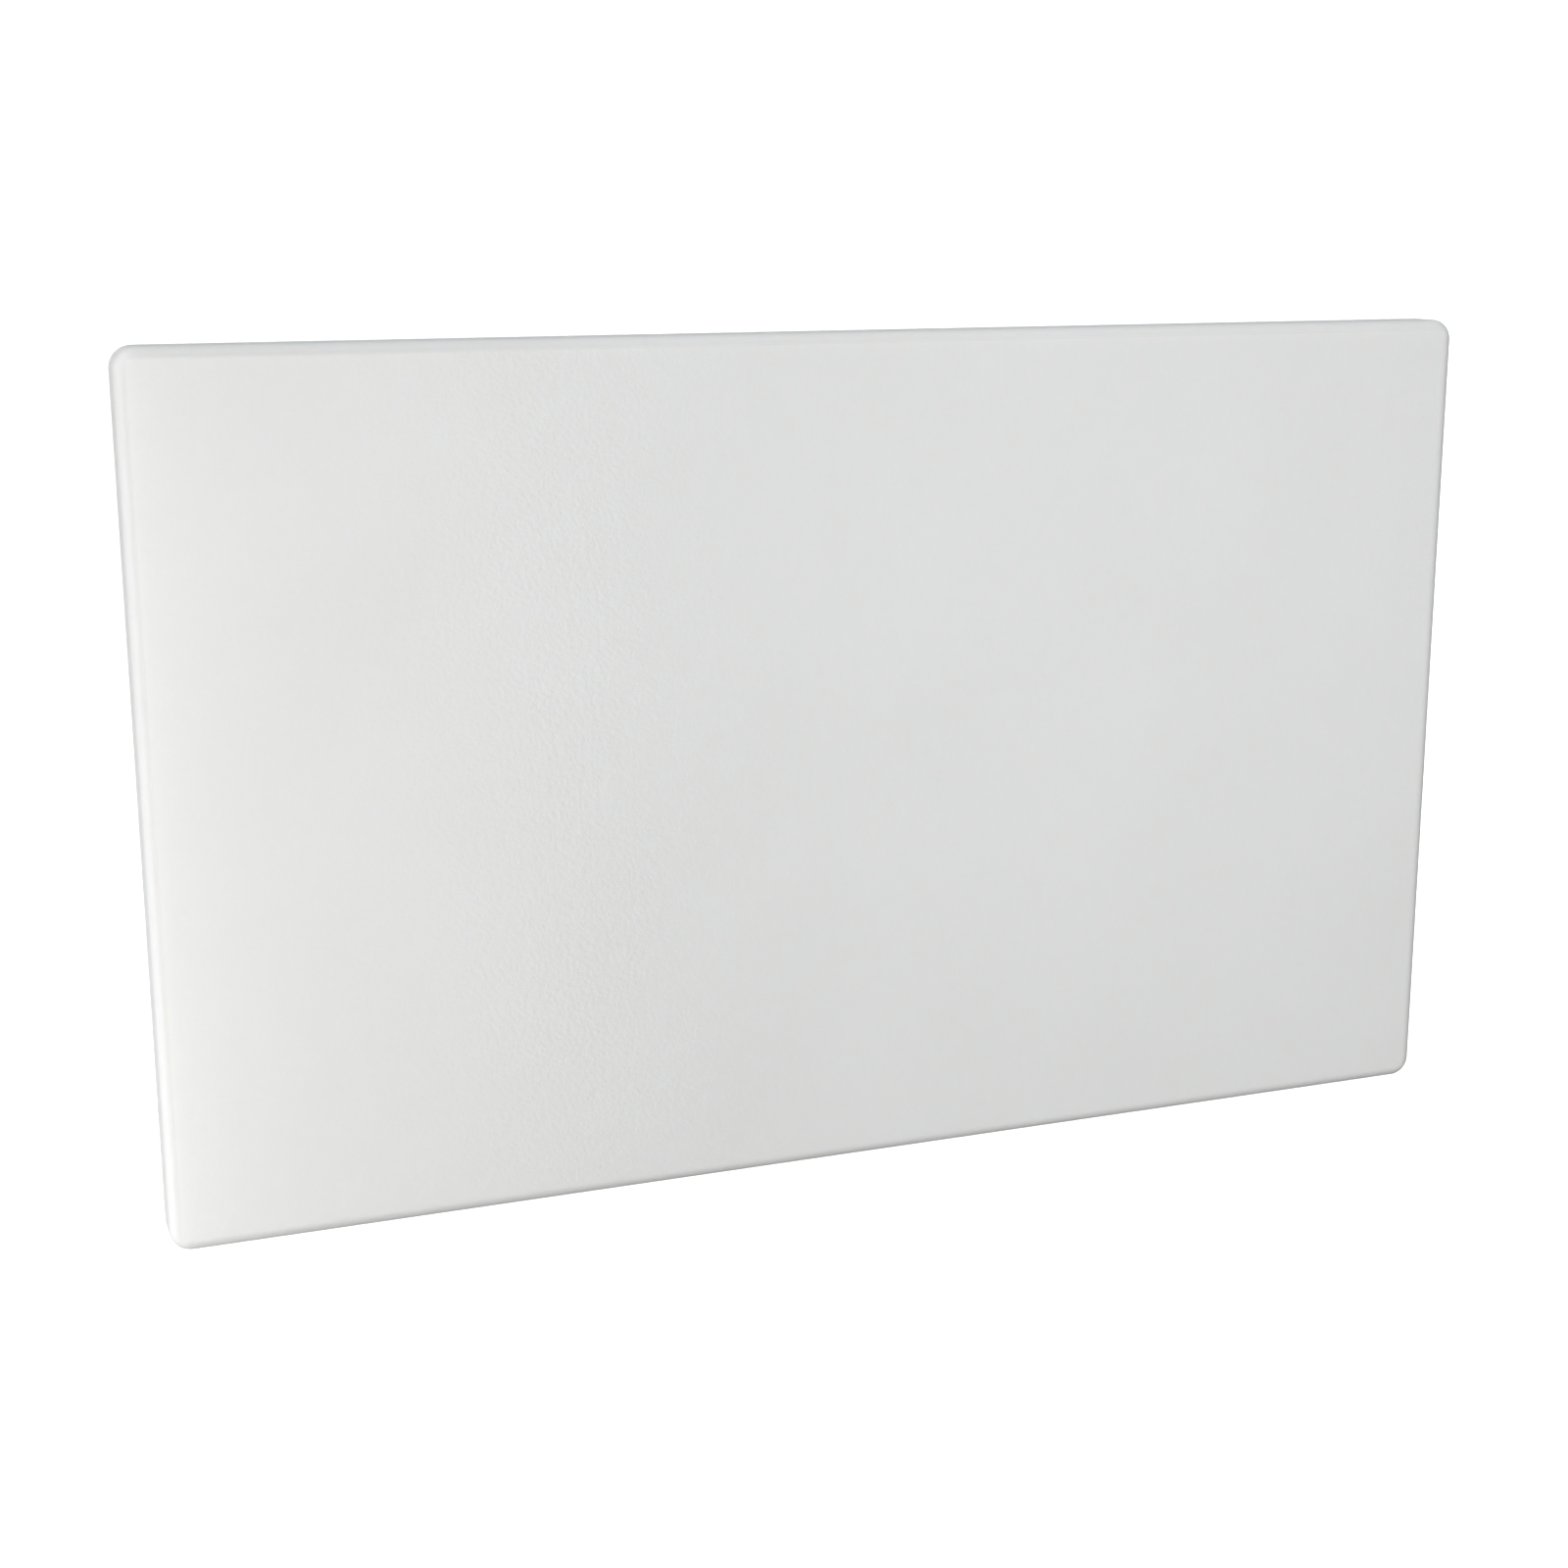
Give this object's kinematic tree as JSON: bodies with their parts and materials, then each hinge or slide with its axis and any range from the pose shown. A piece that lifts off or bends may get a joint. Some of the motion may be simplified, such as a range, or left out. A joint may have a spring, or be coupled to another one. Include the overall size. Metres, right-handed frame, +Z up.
{
  "type": "cutting board",
  "caption": "Plain white rectangular slab for cutting food on, reversible, with small rounded corners and a softened rim on both faces.",
  "frame": {"origin": "centre of the underside, with the board lying flat as it is used", "axes": "+X along the board's length, +Y across its width, +Z up through its thickness, out of the cutting face"},
  "size_m": [0.53, 0.325, 0.02],
  "materials": {
    "polyethylene": "satin"
  },
  "bodies": {
    "root": {"board": "polyethylene"}
  },
  "joints": []
}
